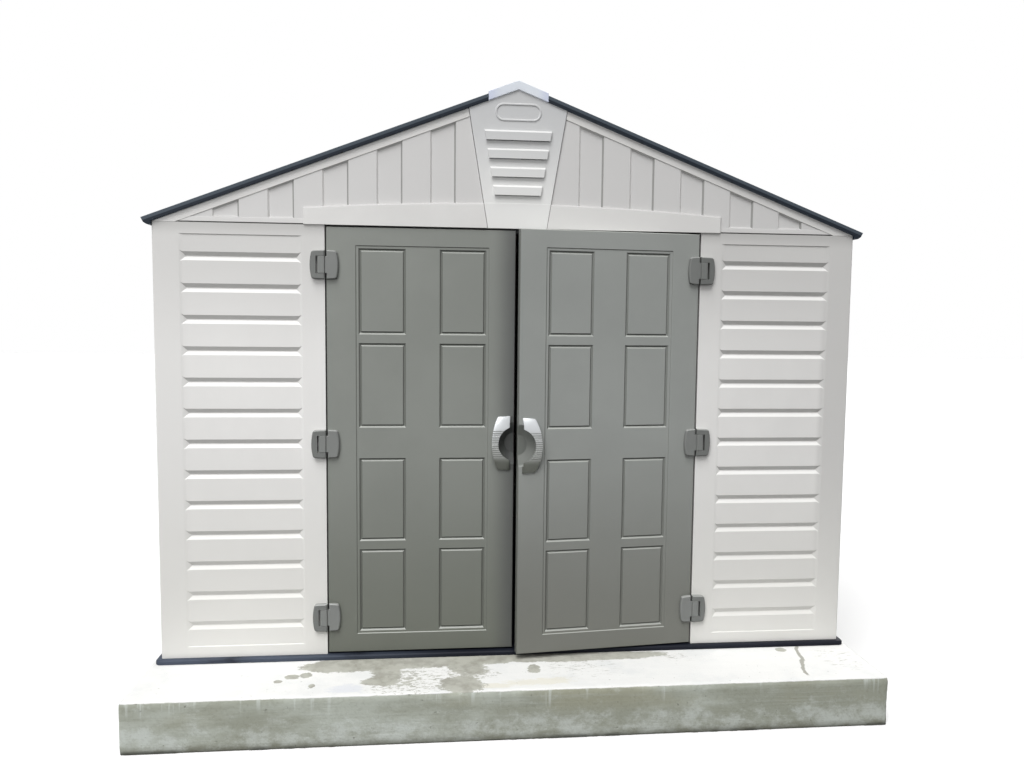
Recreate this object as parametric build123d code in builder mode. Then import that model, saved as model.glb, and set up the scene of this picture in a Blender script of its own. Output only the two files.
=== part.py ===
from build123d import *
from math import cos, radians, sin, tan
import os

os.makedirs("parts", exist_ok=True)

# Concrete plinth: it carries the floor and ends in a step in front of the doors
plinth_height = 205
plinth_margin = 20
plinth_apron = 330
plinth_edge_radius = 10

# Floor pan of two moulded halves with a rim outside the walls
floor_thick = 20
floor_rim = 22
floor_corner_radius = 24
floor_edge_bevel = 5

# Double-skinned wall panels
wall_width = 3000
wall_depth = 2400
wall_height = 1837
wall_thick = 25
corner_radius = 8
side_panel_count = 3
back_panel_count = 4

# Lap siding moulded into each wall panel: a sunk field crossed by V grooves
corner_border = 107
seam_border = 94
field_margin = 47
field_depth = 3
field_angle = 45
field_side_angle = 78
board_count = 13
board_end = 75
groove_height = 33
groove_depth = 9
groove_angle = 59
groove_inset = 5

# Door opening, its jambs and its steel header
opening_width = 1612
jamb_width = 42
jamb_depth = 25
header_height = 40
header_thick = 3
header_lip = 16
header_clearance = 7

# Door leaves
leaf_thick = 40
leaf_side_gap = 5
leaf_centre_gap = 9
leaf_bottom_gap = 6
leaf_top_gap = 7
leaf_edge_bevel = 3
right_door_ajar_angle = 5.4

# Stiles and rails of a leaf, and the raised panels between them
free_stile = 125
middle_stile = 142
hinge_stile = 133
bottom_rail = 92
narrow_rail = 37
lock_rail = 132
top_rail = 87
panel_groove_depth = 7
panel_groove_angle = 45
panel_face_drop = 1
leaf_field_border = 12
leaf_field_depth = 3

# Crescent pulls and the dished bowl behind them
pull_drop = 3
pull_half_height = 119
pull_half_width = 103
pull_shoulder_width = 76
pull_shoulder_height = 115
pull_corner_radius = 12
pull_end_foot = 21
pull_end_head = 29
pull_projection = 34
pull_flank = 62
pull_flank_projection = 27
pull_end_projection = 6
pull_grip_radius = 75
pull_hood_depth = 13
bowl_radius = 92
bowl_floor_radius = 45
bowl_depth = 22

# Surface hinges, three to a leaf
hinge_rows = 3
hinge_end = 166
hinge_half_height = 60.5
hinge_door_side = 55
hinge_wall_side = 62
hinge_bow = 8
hinge_crown = 2.5
hinge_corner_radius = 12
hinge_bevel = 4
hinge_door_thick = 16
hinge_wall_thick = 20
hinge_seam_gap = 6
knuckle_radius = 8
knuckle_height = 72
knuckle_web_thick = 12
knuckle_crease = 5
knuckle_crease_depth = 3
knuckle_end_gap = 1
knuckle_pocket_gap = 5
pin_offset = 24
pin_proud = 12
pin_radius = 3.5
pin_fit = 0.3

# Gables with board and batten relief, a header band and a louvred keystone
roof_angle = 21
rake_strip = 36
ledge_height = 23
ledge_relief = 1.5
ledge_gap = 4
ledge_gap_depth = 14
gable_relief = 3
recess_count = 5
recess_first = 315.5
recess_end = 241
recess_width = 107
recess_depth = 8
recess_angle = 40
band_half_length = 892
band_end_height = 70
band_middle_height = 105
band_proud = 7
band_bevel = 5
band_trace = 1
keystone_foot = 125
keystone_head = 207.5
keystone_gap = 2
keystone_proud = 5
plate_width = 198
plate_height = 74
plate_rim = 9
plate_drop = 93
plate_proud = 3
plate_bevel = 2
louvre_count = 4
louvre_drop = 168
louvre_pitch = 76
louvre_height = 42
louvre_border = 50.5
louvre_proud = 12
louvre_bevel = 8
louvre_skin = 4
louvre_slot = 26

# Roof panels and the translucent ridge
roof_thick = 26
roof_overhang = 12
roof_panels = 3
roof_rib_width = 28
roof_rib_height = 6
course_count = 7
course_lap = 5
eave_lip = 38
eave_end_run = 10
eave_end_drop = 19
eave_drip = 14
eave_drip_thick = 15
ridge_half_width = 126.5
ridge_thick = 35

# Steel roof trusses
truss_width = 25
truss_depth = 40
truss_tie_depth = 30
truss_tie_drop = 283
truss_side_gap = 0.3

# Places worked out from the driving sizes
wall_base = plinth_height + floor_thick
half_width = wall_width / 2
plinth_width = wall_width + 2 * (floor_rim + plinth_margin)
plinth_depth = wall_depth + 2 * floor_rim + plinth_margin + plinth_apron
front_y = -plinth_depth / 2 + plinth_apron + floor_rim
back_y = front_y + wall_depth
middle_y = (front_y + back_y) / 2
opening_half = opening_width / 2
roof_slope = tan(radians(roof_angle))
seam_x = opening_half - leaf_side_gap / 2
pin_x = seam_x + pin_offset
pin_y = front_y - pin_proud

# The front plane has its origin on the floor at mid width, looking at the doors
front_plane = Plane(origin=(0, front_y, wall_base), x_dir=(1, 0, 0), z_dir=(0, -1, 0))
middle_plane = Plane.XZ.offset(-middle_y)
right_pin_axis = Axis((pin_x, pin_y, 0), (0, 0, 1))


def under_roof(x):
    """Height of the roof's underside above the floor at a distance x from the ridge."""
    return wall_height + (half_width - abs(x)) * roof_slope


def mirrored(piece, plane):
    with BuildPart() as copy:
        add(piece)
        mirror(about=plane, mode=Mode.REPLACE)
    return copy.part


def tapered_block(width, height, depth, angle, mode, side_angle=None):
    """A block standing on its local XZ plane that narrows by an angle along its local Y."""
    inset = depth * tan(radians(angle))
    side_inset = depth * tan(radians(side_angle or angle))
    Wedge(width, depth, height, side_inset, inset, width - side_inset, height - inset,
          align=(Align.CENTER, Align.MIN, Align.CENTER), mode=mode)


pieces = {}

# Concrete plinth
with BuildPart() as concrete_plinth:
    with BuildSketch():
        Rectangle(plinth_width, plinth_depth)
    extrude(amount=plinth_height)
    fillet(concrete_plinth.edges().group_by(Axis.Z)[-1], plinth_edge_radius)
pieces["concrete_plinth"] = concrete_plinth.part

# Floor pan, one moulded half to each side
with BuildPart() as floor_right:
    floor_depth = wall_depth + 2 * floor_rim
    with BuildSketch(Plane.XY.offset(plinth_height)):
        with Locations((0, middle_y)):
            Rectangle(half_width + floor_rim, floor_depth, align=(Align.MIN, Align.CENTER))
    extrude(amount=floor_thick)
    outer_corners = floor_right.edges().filter_by(Axis.Z).group_by(Axis.X)[-1]
    fillet(outer_corners, floor_corner_radius)
    top_edges = floor_right.faces().sort_by(Axis.Z)[-1].edges()
    chamfer(top_edges.sort_by(Axis.X)[1:], floor_edge_bevel)
pieces["floor_right"] = floor_right.part
pieces["floor_left"] = mirrored(floor_right.part, Plane.YZ)


def siding_panel(face, width, height, left_border, right_border):
    """A wall panel seen from outside, from its lower left corner on the face plane."""
    field_width = width - left_border - right_border
    field_height = wall_height - 2 * field_margin
    field_middle = ((left_border + width - right_border) / 2, wall_height / 2, 0)
    into_wall = Plane(face.from_local_coords(field_middle), face.x_dir, face.y_dir)
    groove_length = field_width - 2 * groove_inset
    groove_rise = field_height - 2 * board_end - groove_height
    grooves = [(0, field_depth, groove_rise * (row / (board_count - 1) - 0.5)) for row in range(board_count)]
    with BuildPart() as panel:
        with BuildSketch(face):
            Rectangle(width, height, align=Align.MIN)
        extrude(amount=-wall_thick)
        with Locations(into_wall):
            tapered_block(field_width, field_height, field_depth, field_angle, Mode.SUBTRACT,
                          field_side_angle)
            with Locations(grooves):
                tapered_block(groove_length, groove_height, groove_depth, groove_angle, Mode.SUBTRACT)
    return panel.part


# Front walls, one beside each leaf, with the jamb returned behind the opening
with BuildPart() as front_wall_right:
    corner = front_plane.from_local_coords((opening_half, 0, 0))
    panel_face = Plane(corner, front_plane.x_dir, front_plane.z_dir)
    add(siding_panel(panel_face, half_width - opening_half, wall_height, seam_border, corner_border))
    with BuildSketch(Plane.XY.offset(wall_base)):
        with Locations((opening_half, front_y + wall_thick)):
            Rectangle(jamb_width, jamb_depth, align=Align.MIN)
    extrude(amount=wall_height)
    outer_edge = front_wall_right.edges().filter_by(Axis.Z).group_by(Axis.X)[-1]
    fillet(outer_edge.sort_by(Axis.Y)[0], corner_radius)
pieces["front_wall_right"] = front_wall_right.part
pieces["front_wall_left"] = mirrored(front_wall_right.part, Plane.YZ)

# Side walls, their tops cut to the slope of the roof
side_length = wall_depth - 2 * wall_thick
side_panel_width = side_length / side_panel_count
side_height = under_roof(half_width - wall_thick)
slope_normal = (sin(radians(roof_angle)), 0, cos(radians(roof_angle)))
eave_line = Plane((half_width, 0, wall_base + wall_height), (0, 1, 0), slope_normal)
for row, place in enumerate(("front", "middle", "back")):
    start = (half_width, front_y + wall_thick + row * side_panel_width, wall_base)
    with BuildPart() as side_wall:
        side_face = Plane(start, (0, 1, 0), (1, 0, 0))
        add(siding_panel(side_face, side_panel_width, side_height, seam_border, seam_border))
        split(bisect_by=eave_line, keep=Keep.BOTTOM)
    pieces[f"right_wall_{place}"] = side_wall.part
    pieces[f"left_wall_{place}"] = mirrored(side_wall.part, Plane.YZ)

# Back wall, from corner to corner
back_panel_width = wall_width / back_panel_count
with BuildPart() as back_wall_corner:
    back_face = Plane((half_width, back_y, wall_base), (-1, 0, 0), (0, 1, 0))
    add(siding_panel(back_face, back_panel_width, wall_height, corner_border, seam_border))
    outer_edge = back_wall_corner.edges().filter_by(Axis.Z).group_by(Axis.X)[-1]
    fillet(outer_edge.sort_by(Axis.Y)[-1], corner_radius)
with BuildPart() as back_wall_middle:
    inner_face = Plane((half_width - back_panel_width, back_y, wall_base), (-1, 0, 0), (0, 1, 0))
    add(siding_panel(inner_face, back_panel_width, wall_height, seam_border, seam_border))
pieces["back_wall_right"] = back_wall_corner.part
pieces["back_wall_middle_right"] = back_wall_middle.part
pieces["back_wall_middle_left"] = mirrored(back_wall_middle.part, Plane.YZ)
pieces["back_wall_left"] = mirrored(back_wall_corner.part, Plane.YZ)

# Header band over the doors, a shallow arch that runs across the gable and shows faintly on the keystone
with BuildSketch() as band_outline:
    with BuildLine():
        ends_up = wall_height + band_end_height
        crown = ThreePointArc((-band_half_length, ends_up), (0, wall_height + band_middle_height),
                              (band_half_length, ends_up))
        Polyline(crown @ 1, (band_half_length, wall_height), (-band_half_length, wall_height), crown @ 0)
    make_face()
header_band = band_outline.sketch

# Gable, one half beside the keystone
with BuildPart() as front_gable_right:
    foot = (keystone_foot + keystone_gap, wall_height)
    head = (keystone_head + keystone_gap, under_roof(keystone_head + keystone_gap))
    tip = (half_width, wall_height)
    with BuildSketch(front_plane):
        Polygon(foot, tip, head, align=None)
    extrude(amount=-wall_thick)
    rake_drop = ledge_height + rake_strip
    ledge = wall_height + ledge_height
    ledge_end = half_width - rake_drop / roof_slope
    ledge_tip = half_width - rake_strip / roof_slope
    gap_end = ledge_tip - ledge_gap / roof_slope
    with BuildSketch(front_plane.offset(-gable_relief)):
        Polygon((0, ledge), (ledge_end, ledge), (0, under_roof(0) - rake_strip), align=None)
    extrude(amount=gable_relief + roof_thick, mode=Mode.SUBTRACT)
    with BuildSketch(front_plane.offset(-ledge_relief)):
        Polygon((0, wall_height), (ledge_tip, wall_height), (ledge_end, ledge), (0, ledge), align=None)
    extrude(amount=ledge_relief + roof_thick, mode=Mode.SUBTRACT)
    with BuildSketch(front_plane.offset(-ledge_gap_depth)):
        Polygon((0, wall_height), (ledge_tip, wall_height), (gap_end, wall_height + ledge_gap),
                (0, wall_height + ledge_gap), align=None)
    extrude(amount=ledge_gap_depth, mode=Mode.SUBTRACT)
    recess_pitch = (half_width - recess_end - recess_width / 2 - recess_first) / (recess_count - 1)
    with BuildSketch(Plane(front_plane.from_local_coords((0, 0, -gable_relief)), (1, 0, 0), (0, 1, 0))):
        for recess in range(recess_count):
            left = recess_first + recess * recess_pitch - recess_width / 2
            right = left + recess_width
            sill = -ledge
            Polygon((left, sill), (right, sill), (right, rake_strip - under_roof(right)),
                    (left, rake_strip - under_roof(left)), align=None)
    extrude(amount=recess_depth, taper=recess_angle, mode=Mode.SUBTRACT)
    with BuildSketch(front_plane.offset(band_proud)):
        add(header_band)
        Polygon(foot, tip, head, align=None, mode=Mode.INTERSECT)
    extrude(amount=-band_proud - wall_thick)
    band_edges = front_gable_right.faces().sort_by(Axis.Y)[0].edges()
    chamfer([band_edges.sort_by(Axis.Z)[-1], band_edges.sort_by(Axis.X)[-1]], band_bevel)
pieces["front_gable_right"] = front_gable_right.part
pieces["front_gable_left"] = mirrored(front_gable_right.part, Plane.YZ)
pieces["back_gable_right"] = mirrored(front_gable_right.part, middle_plane)
pieces["back_gable_left"] = mirrored(pieces["back_gable_right"], Plane.YZ)

# Louvred keystone between the gable halves, with its blank plate under the ridge
keystone_height = under_roof(keystone_head) - wall_height
keystone_flare = (keystone_head - keystone_foot) / keystone_height
with BuildPart() as front_keystone:
    keystone_face = front_plane.offset(keystone_proud)
    with BuildSketch(keystone_face):
        Polygon((-keystone_foot, wall_height), (keystone_foot, wall_height),
                (keystone_head, under_roof(keystone_head)), (0, under_roof(0)),
                (-keystone_head, under_roof(keystone_head)), align=None)
    extrude(amount=-keystone_proud - wall_thick)
    with BuildSketch(keystone_face):
        add(header_band)
        Polygon((-keystone_foot, wall_height), (keystone_foot, wall_height),
                (keystone_head, under_roof(keystone_head)), (-keystone_head, under_roof(keystone_head)),
                align=None, mode=Mode.INTERSECT)
    extrude(amount=band_trace)
    with BuildSketch(keystone_face):
        with Locations((0, under_roof(0) - plate_drop)):
            SlotOverall(plate_width, plate_height)
            SlotOverall(plate_width - 2 * plate_rim, plate_height - 2 * plate_rim, mode=Mode.SUBTRACT)
    extrude(amount=plate_proud)
    chamfer(front_keystone.faces().sort_by(Axis.Y)[0].edges(), plate_bevel)
    for row in range(louvre_count):
        top = under_roof(0) - louvre_drop - row * louvre_pitch
        bottom = top - louvre_height
        top_half = keystone_foot + keystone_flare * (top - wall_height) - louvre_border
        bottom_half = keystone_foot + keystone_flare * (bottom - wall_height) - louvre_border
        with BuildSketch(keystone_face):
            Polygon((-bottom_half, bottom), (bottom_half, bottom), (top_half, top), (-top_half, top),
                    align=None)
        extrude(amount=louvre_proud)
        hood_face = front_keystone.faces().filter_by(Axis.Y).sort_by(Axis.Y)[0:row + 1].sort_by(Axis.Z)[0]
        chamfer(hood_face.edges().sort_by(Axis.Z)[-1], louvre_bevel)
        with BuildSketch(keystone_face.offset(louvre_proud - louvre_skin)):
            with Locations((0, bottom)):
                Rectangle(2 * (bottom_half - louvre_skin), louvre_slot, align=(Align.CENTER, Align.MIN))
        extrude(amount=-louvre_proud - keystone_proud - wall_thick, mode=Mode.SUBTRACT)
pieces["front_keystone"] = front_keystone.part
pieces["back_keystone"] = mirrored(front_keystone.part, middle_plane)

# Roof panels of lapped courses between raised joint ribs
roof_lift = roof_thick / cos(radians(roof_angle))
panel_run = (wall_depth + 2 * roof_overhang) / roof_panels
field_top = roof_thick - roof_rib_height
field_low = field_top - course_lap
course_run = (half_width + eave_lip - ridge_half_width) / cos(radians(roof_angle)) / course_count
down_slope = (cos(radians(roof_angle)), 0, -sin(radians(roof_angle)))
slope_plane = Plane((ridge_half_width, 0, wall_base + under_roof(ridge_half_width)), down_slope, (0, -1, 0))
eave_top = wall_height - eave_lip * roof_slope + roof_lift
for row, place in enumerate(("front", "middle", "back")):
    near = front_y - roof_overhang + row * panel_run
    with BuildPart() as roof_panel:
        with BuildSketch(front_plane.offset(front_y - near)):
            Polygon((ridge_half_width, under_roof(ridge_half_width)), (half_width, wall_height),
                    (half_width, wall_height - eave_drip),
                    (half_width + eave_drip_thick, wall_height - eave_drip),
                    (half_width + eave_lip - eave_end_run, eave_top - eave_end_drop),
                    (half_width + eave_lip, eave_top),
                    (ridge_half_width, under_roof(ridge_half_width) + roof_lift), align=None)
        extrude(amount=-panel_run)
        with BuildSketch(slope_plane.offset(-near - roof_rib_width)):
            with BuildLine():
                end = course_count * course_run + roof_thick
                teeth = [(end, field_top), (end, roof_lift)]
                teeth += [(-roof_thick, roof_lift), (-roof_thick, field_low)]
                for course in range(course_count):
                    teeth.append((course * course_run, field_low))
                    teeth.append(((course + 1) * course_run, field_top))
                Polyline(*teeth, close=True)
            make_face()
        extrude(amount=-panel_run + 2 * roof_rib_width, mode=Mode.SUBTRACT)
    pieces[f"roof_right_{place}"] = roof_panel.part
    pieces[f"roof_left_{place}"] = mirrored(roof_panel.part, Plane.YZ)

# Translucent ridge pieces between the two slopes
ridge_lift = ridge_thick / cos(radians(roof_angle))
for row, place in enumerate(("front", "middle", "back")):
    near = front_y - roof_overhang + row * panel_run
    with BuildPart() as ridge_piece:
        with BuildSketch(front_plane.offset(front_y - near)):
            shoulder = under_roof(ridge_half_width)
            Polygon((-ridge_half_width, shoulder), (0, under_roof(0)), (ridge_half_width, shoulder),
                    (ridge_half_width, shoulder + ridge_lift), (0, under_roof(0) + ridge_lift),
                    (-ridge_half_width, shoulder + ridge_lift), align=None)
        extrude(amount=-panel_run)
    pieces[f"ridge_skylight_{place}"] = ridge_piece.part

# Steel trusses under the joints of the roof panels
truss_drop = truss_depth / cos(radians(roof_angle))
truss_foot = half_width - wall_thick - truss_side_gap
tie_top = under_roof(0) - truss_tie_drop
tie_half = truss_tie_drop / roof_slope - truss_depth
for row, place in enumerate(("front", "back")):
    joint_y = front_y - roof_overhang + (row + 1) * panel_run
    with BuildPart() as truss:
        with BuildSketch(front_plane.offset(front_y - joint_y + truss_width / 2)):
            foot_top = under_roof(truss_foot)
            Polygon((-truss_foot, foot_top), (0, under_roof(0)), (truss_foot, foot_top),
                    (truss_foot, foot_top - truss_drop), (0, under_roof(0) - truss_drop),
                    (-truss_foot, foot_top - truss_drop), align=None)
            with Locations((0, tie_top)):
                Rectangle(2 * tie_half, truss_tie_depth, align=(Align.CENTER, Align.MAX))
        extrude(amount=-truss_width)
    pieces[f"roof_truss_{place}"] = truss.part

# Steel header on the jambs, with a lip that stops the leaves
with BuildPart() as door_header:
    header_half = opening_half + jamb_width
    header_back = front_y + wall_thick + jamb_depth
    with BuildSketch(Plane.XY.offset(wall_base + wall_height)):
        with Locations((0, front_y + wall_thick)):
            Rectangle(2 * header_half, jamb_depth, align=(Align.CENTER, Align.MIN))
    extrude(amount=header_height)
    with BuildSketch(Plane.XY.offset(wall_base + wall_height - header_lip)):
        with Locations((0, header_back)):
            Rectangle(opening_width - 2 * header_clearance, header_thick, align=(Align.CENTER, Align.MAX))
    extrude(amount=header_lip)
pieces["door_header"] = door_header.part

# Raised panels of the closed right leaf: two columns, and a pair of rows each side of the lock rail
leaf_height = wall_height - leaf_bottom_gap - leaf_top_gap
leaf_free_edge = leaf_centre_gap / 2
leaf_width = opening_half - leaf_side_gap - leaf_free_edge
panel_width = (leaf_width - free_stile - middle_stile - hinge_stile) / 2
panel_height = (leaf_height - bottom_rail - 2 * narrow_rail - lock_rail - top_rail) / 4
column_x = leaf_free_edge + free_stile + panel_width / 2
panel_columns = [column_x, column_x + panel_width + middle_stile]
row_z = leaf_bottom_gap + bottom_rail + panel_height / 2
panel_rows = [row_z]
for rail in (narrow_rail, lock_rail, narrow_rail):
    row_z = row_z + panel_height + rail
    panel_rows.append(row_z)
panel_middle = (sum(panel_columns) / 2, (panel_rows[0] + row_z) / 2, 0)
panel_base = leaf_field_depth + panel_groove_depth
groove_run = panel_groove_depth * tan(radians(panel_groove_angle))
pull_height = leaf_bottom_gap + bottom_rail + 2 * panel_height + narrow_rail + lock_rail / 2 - pull_drop

with BuildPart() as door_leaf:
    with BuildSketch(front_plane):
        with Locations((leaf_free_edge, leaf_bottom_gap)):
            Rectangle(leaf_width, leaf_height, align=Align.MIN)
    extrude(amount=-leaf_thick)
    chamfer(door_leaf.faces().sort_by(Axis.Y)[0].edges(), leaf_edge_bevel)
    with Locations(Plane(front_plane.from_local_coords(panel_middle), (1, 0, 0), (0, 0, 1))):
        tapered_block(panel_columns[1] - panel_columns[0] + panel_width + 2 * leaf_field_border,
                      panel_rows[-1] - panel_rows[0] + panel_height + 2 * leaf_field_border,
                      leaf_field_depth, panel_groove_angle, Mode.SUBTRACT)
    with Locations(Plane((0, front_y + leaf_field_depth, wall_base), (1, 0, 0), (0, 0, 1))):
        with Locations([(x, 0, z) for x in panel_columns for z in panel_rows]):
            tapered_block(panel_width, panel_height, panel_groove_depth, panel_groove_angle, Mode.SUBTRACT)
    with Locations(Plane((0, front_y + panel_base, wall_base), (-1, 0, 0), (0, 0, 1))):
        with Locations([(-x, 0, z) for x in panel_columns for z in panel_rows]):
            tapered_block(panel_width - 2 * groove_run, panel_height - 2 * groove_run,
                          panel_groove_depth - panel_face_drop, panel_groove_angle, Mode.ADD)
    # Dished bowl behind the pull, turned about the pull's centre
    with BuildSketch(Plane((0, front_y, wall_base + pull_height), (1, 0, 0), (0, 0, 1))):
        Polygon((0, -leaf_thick), (0, bowl_depth), (bowl_floor_radius, bowl_depth),
                (bowl_radius, 0), (bowl_radius, -leaf_thick), align=None)
    revolve(axis=Axis((0, front_y, wall_base + pull_height), (0, 1, 0)), mode=Mode.SUBTRACT)

# Crescent pull: an arched hood round the bowl, with a flat at each end
pull_origin = front_plane.from_local_coords((0, pull_height, 0))
pull_base = Plane(pull_origin, (1, 0, 0), (0, -1, 0))
with BuildPart() as door_pull:
    with BuildSketch(pull_base):
        with BuildLine():
            side = ThreePointArc((pull_shoulder_width, pull_shoulder_height), (pull_half_width, 0),
                                 (pull_shoulder_width, -pull_shoulder_height))
            Polyline(side @ 1, (pull_end_foot, -pull_half_height),
                     (pull_end_foot, pull_half_height), side @ 0)
        outline = make_face()
        fillet(outline.vertices().group_by(Axis.X)[-1], pull_corner_radius)
        Circle(pull_grip_radius, mode=Mode.SUBTRACT)
    extrude(amount=pull_projection)
    with BuildSketch(Plane(pull_origin, (0, -1, 0), (1, 0, 0))):
        with BuildLine():
            bow = ThreePointArc((pull_flank_projection, -pull_flank), (pull_projection, 0),
                                (pull_flank_projection, pull_flank))
            Polyline(bow @ 1, (pull_end_projection, pull_half_height), (0, pull_half_height),
                     (0, -pull_half_height), (pull_end_projection, -pull_half_height), bow @ 0)
        make_face()
    extrude(amount=pull_half_width, mode=Mode.INTERSECT)
    with BuildSketch(pull_base):
        Circle(bowl_radius)
    extrude(amount=pull_hood_depth, mode=Mode.SUBTRACT)
    # The ends lean back from the gap between the two pulls
    end_foot = front_plane.from_local_coords((pull_end_foot, pull_height, 0))
    split(bisect_by=Plane(end_foot, (0, 0, 1), (pull_projection, pull_end_head - pull_end_foot, 0)))


def hinge_outline(left, right):
    """The part of one hinge's bowed outline between two distances from the seam."""
    inner = seam_x - hinge_door_side + hinge_bow
    outer = seam_x + hinge_wall_side - hinge_bow
    edge = hinge_half_height - hinge_crown
    with BuildSketch() as outline:
        with BuildLine():
            ThreePointArc((inner, -edge), (inner - hinge_bow, 0), (inner, edge))
            ThreePointArc((inner, edge), (seam_x, hinge_half_height), (outer, edge))
            ThreePointArc((outer, edge), (outer + hinge_bow, 0), (outer, -edge))
            ThreePointArc((outer, -edge), (seam_x, -hinge_half_height), (inner, -edge))
        make_face()
        fillet(outline.vertices(), hinge_corner_radius)
        with Locations((seam_x + left, 0)):
            Rectangle(right - left, 2 * hinge_half_height, align=(Align.MIN, Align.CENTER),
                      mode=Mode.INTERSECT)
    return outline.sketch


# Surface hinge: a plate on the leaf with a tongue and knuckle, in the open side of a C on the wall,
# turning on a pin moulded between the two arms of the C
door_side_outline = hinge_outline(-hinge_door_side, -hinge_seam_gap)
wall_side_outline = hinge_outline(0, hinge_wall_side)
hinge_plane = Plane((0, front_y, wall_base), (1, 0, 0), (0, -1, 0))

with BuildPart() as door_hinge:
    with BuildSketch(hinge_plane):
        add(door_side_outline)
    extrude(amount=hinge_door_thick)
    chamfer(door_hinge.faces().sort_by(Axis.Y)[0].edges(), hinge_bevel)
    with BuildSketch(Plane.XY.offset(wall_base - knuckle_height / 2 + knuckle_end_gap)):
        tongue_front = pin_y - knuckle_radius
        tongue_back = tongue_front + knuckle_web_thick
        tongue_root = seam_x - hinge_seam_gap - hinge_bevel
        plate_front = front_y - hinge_door_thick
        Polygon((tongue_root, plate_front), (seam_x - knuckle_crease / 2, plate_front),
                (seam_x, plate_front + knuckle_crease_depth), (seam_x + knuckle_crease / 2, tongue_front),
                (pin_x, tongue_front), (pin_x, tongue_back), (tongue_root, tongue_back), align=None)
        with Locations((pin_x, pin_y)):
            Circle(knuckle_radius)
            Circle(pin_radius + pin_fit, mode=Mode.SUBTRACT)
    extrude(amount=knuckle_height - 2 * knuckle_end_gap)

with BuildPart() as wall_hinge:
    with BuildSketch(hinge_plane):
        add(wall_side_outline)
    extrude(amount=hinge_wall_thick)
    chamfer(wall_hinge.faces().sort_by(Axis.Y)[0].edges(), hinge_bevel)
    with BuildSketch(hinge_plane):
        with Locations((seam_x, 0)):
            Rectangle(pin_offset + knuckle_radius + knuckle_pocket_gap, knuckle_height,
                      align=(Align.MIN, Align.CENTER))
    extrude(amount=hinge_wall_thick, mode=Mode.SUBTRACT)
    with BuildSketch(Plane.XY.offset(wall_base - knuckle_height / 2)):
        with Locations((pin_x, pin_y)):
            Circle(pin_radius)
    extrude(amount=knuckle_height)


def at_hinges(piece):
    """The same piece at each hinge of one leaf."""
    hinge_pitch = (wall_height - 2 * hinge_end) / (hinge_rows - 1)
    with BuildPart() as column:
        with Locations([(0, 0, hinge_end + row * hinge_pitch) for row in range(hinge_rows)]):
            add(piece)
    return column.part


door_hinges = at_hinges(door_hinge.part)
wall_hinges = at_hinges(wall_hinge.part)
pieces["wall_hinges_right"] = wall_hinges
pieces["wall_hinges_left"] = mirrored(wall_hinges, Plane.YZ)

# The left leaf stands closed, and the right leaf stands ajar about its pins
for name, piece in (("leaf", door_leaf.part), ("pull", door_pull.part), ("hinges", door_hinges)):
    pieces[f"left_door_{name}"] = mirrored(piece, Plane.YZ)
    pieces[f"right_door_{name}"] = piece.rotate(right_pin_axis, right_door_ajar_angle)

for name, piece in pieces.items():
    piece.label = name
    export_step(piece, f"parts/{name}.step")
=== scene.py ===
from math import cos, pi, radians, sin

import bpy
from mathutils import Matrix, Vector, noise


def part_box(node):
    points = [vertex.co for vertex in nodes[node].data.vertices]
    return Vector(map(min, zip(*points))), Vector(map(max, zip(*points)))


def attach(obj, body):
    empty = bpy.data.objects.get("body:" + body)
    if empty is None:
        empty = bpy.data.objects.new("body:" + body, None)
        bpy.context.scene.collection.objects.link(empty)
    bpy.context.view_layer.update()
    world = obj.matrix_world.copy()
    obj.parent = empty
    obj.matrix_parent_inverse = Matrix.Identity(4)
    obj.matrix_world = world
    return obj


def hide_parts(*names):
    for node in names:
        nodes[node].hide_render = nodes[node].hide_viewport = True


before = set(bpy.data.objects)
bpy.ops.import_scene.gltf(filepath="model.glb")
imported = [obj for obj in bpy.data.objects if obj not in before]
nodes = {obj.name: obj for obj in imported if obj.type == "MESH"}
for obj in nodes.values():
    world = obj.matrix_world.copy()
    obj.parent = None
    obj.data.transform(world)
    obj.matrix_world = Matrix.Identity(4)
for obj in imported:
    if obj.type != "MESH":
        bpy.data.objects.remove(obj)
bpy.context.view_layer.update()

# Concrete plinth: one slab cast between boards, with its top trowelled smooth.
# The top is bleached and water-stained, the cast sides are grey and mossy, and the edges are chipped.
slab_low, slab_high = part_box("concrete_plinth")
slab_grid = 0.012
slab_relief = 0.0016
chip_band = 0.018
chip_depth = 0.0045
upright_chips = 0.5
least_chip = 0.2
bleached_colour = (233, 233, 231)
trowelled_colour = (225, 226, 225)
damp_colour = (156, 155, 145)
drying_colour = (178, 178, 168)
faint_colour = (205, 209, 219)
cream_colour = (221, 216, 196)
cast_colour = (185, 190, 180)
moss_colour = (161, 164, 151)
olive_colour = (164, 163, 142)
limescale_colour = (217, 223, 219)
soil_colour = (112, 111, 97)
worn_edge_low = 0.007
worn_edge_high = 0.003
worn_edge_waver = 0.007
shaded_from_x, shaded_to_x = -0.9, 0.9
olive_from_z, olive_to_z = 0.08, 0.16
limed_from_z, limed_to_z = 0.15, 0.06
drips_from_z, drips_to_z = 0.215, 0.265
soil_and_shadow_from_z, soil_and_shadow_to_z = 0.070, 0.028
concrete_bump = 0.0025
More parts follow.
